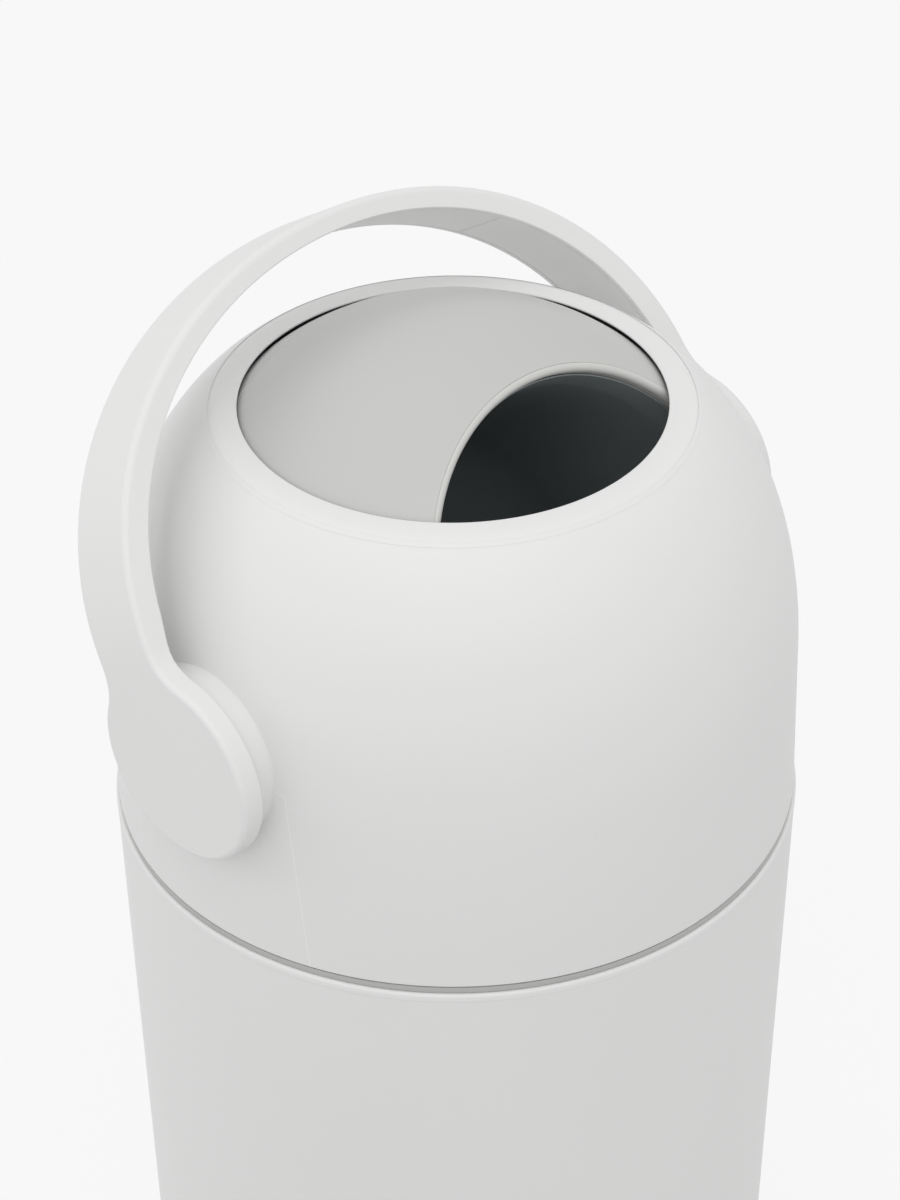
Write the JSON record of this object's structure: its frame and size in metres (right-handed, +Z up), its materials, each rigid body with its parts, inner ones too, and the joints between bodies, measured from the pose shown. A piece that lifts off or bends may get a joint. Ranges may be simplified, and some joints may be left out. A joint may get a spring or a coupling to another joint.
{
  "type": "nappy bin",
  "caption": "Nappy bin: tapered round body, dome lid with a round opening, and a bail handle on two hubs that turns a ball-shaped drum with a dark bowl.",
  "frame": {"origin": "on the floor, under the middle of the round body", "axes": "+Z up, X along the hub axis, front of the bin towards -Y"},
  "size_m": [0.3084, 0.2872, 0.5723],
  "materials": {
    "white_plastic": "fine satin moulded plastic",
    "drum_plastic": "satin light grey plastic",
    "bowl_plastic": "satin dark grey plastic",
    "inner_plastic": "natural uncoloured plastic",
    "rubber": "matt black rubber",
    "steel": "zinc plated"
  },
  "bodies": {
    "bin": {"bin_body": "white_plastic", "bag_ring": "inner_plastic", "foot_1": "rubber", "foot_2": "rubber", "foot_3": "rubber", "foot_4": "rubber"},
    "lid": {"lid_shell": "white_plastic", "lid_base": "inner_plastic", "upper_drum_seal": "rubber", "lower_drum_seal": "rubber", "lid_seal": "rubber", "base_screw_1": "steel", "base_screw_2": "steel", "base_screw_3": "steel", "base_screw_4": "steel", "bush_right": "inner_plastic", "bush_left": "inner_plastic"},
    "turner": {"drum_front_shell": "drum_plastic", "drum_back_shell": "drum_plastic", "mouth_ring": "drum_plastic", "bowl": "bowl_plastic", "handle_shell": "white_plastic", "handle_strip_centre": "white_plastic", "handle_strip_right": "white_plastic", "handle_strip_left": "white_plastic", "axle_right": "inner_plastic", "axle_left": "inner_plastic", "hub_plate_right": "inner_plastic", "hub_plate_left": "inner_plastic", "hub_screw_right": "steel", "hub_screw_left": "steel"}
  },
  "joints": [
    {"name": "lid_lift", "type": "slide", "parent": "bin", "child": "lid", "axis": [0, 0, 1], "range_m": [0, 0.15]},
    {"name": "drum_turn", "type": "hinge", "parent": "lid", "child": "turner", "pos_m": [0, 0, 0.424], "axis": [1, 0, 0], "range_deg": [-56, 124]}
  ]
}
